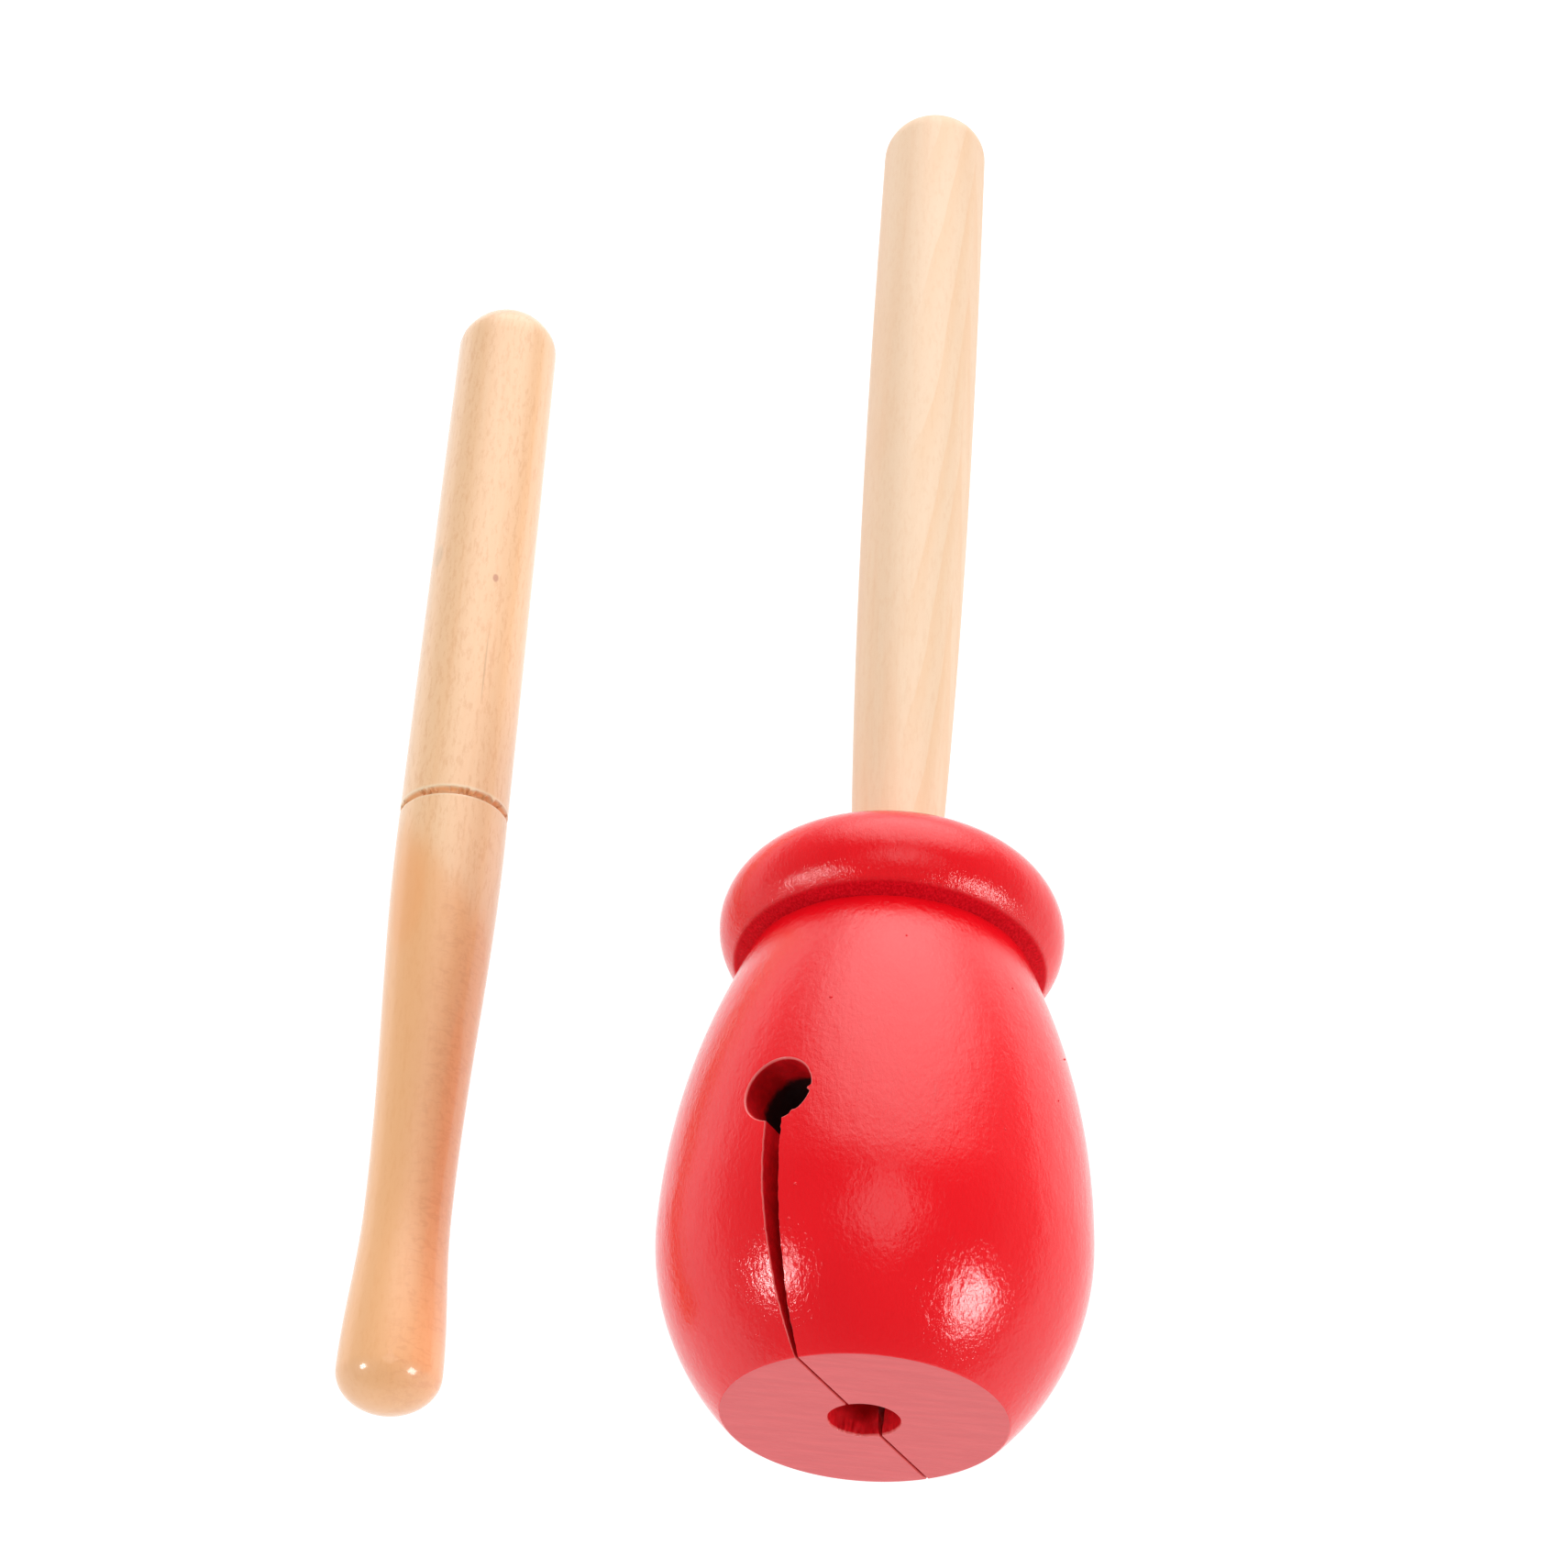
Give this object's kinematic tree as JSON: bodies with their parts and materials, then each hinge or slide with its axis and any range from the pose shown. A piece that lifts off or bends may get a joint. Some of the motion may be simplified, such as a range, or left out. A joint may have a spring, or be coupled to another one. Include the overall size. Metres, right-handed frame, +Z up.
{
  "type": "handled slit wood block with beater",
  "caption": "Lacquered wooden slit sound block with a round collar on a turned stick handle, lying beside its loose grooved wooden beater.",
  "frame": {"origin": "on the table, under the middle of the box around the instrument and its beater", "axes": "+Z up from the table; +Y from the block's base towards the handle's tip; +X from the beater towards the block; the instrument lies on its widest place and its handle's tip, so its axis dips by 5.30 degrees towards +Y"},
  "size_m": [0.1044, 0.2448, 0.0563],
  "materials": {
    "red_lacquered_wood": "gloss red lacquer over turned wood",
    "pale_handle_wood": "fine sanded, unvarnished",
    "pale_beater_wood": "fine sanded, thin clear coat"
  },
  "bodies": {
    "instrument": {"block": "red_lacquered_wood", "handle": "pale_handle_wood"},
    "beater": {"beater": "pale_beater_wood"}
  },
  "joints": [
    {"name": "beater_lift", "type": "slide", "parent": "instrument", "child": "beater", "axis": [0, 0, 1], "range_m": [0, 0.12]}
  ]
}
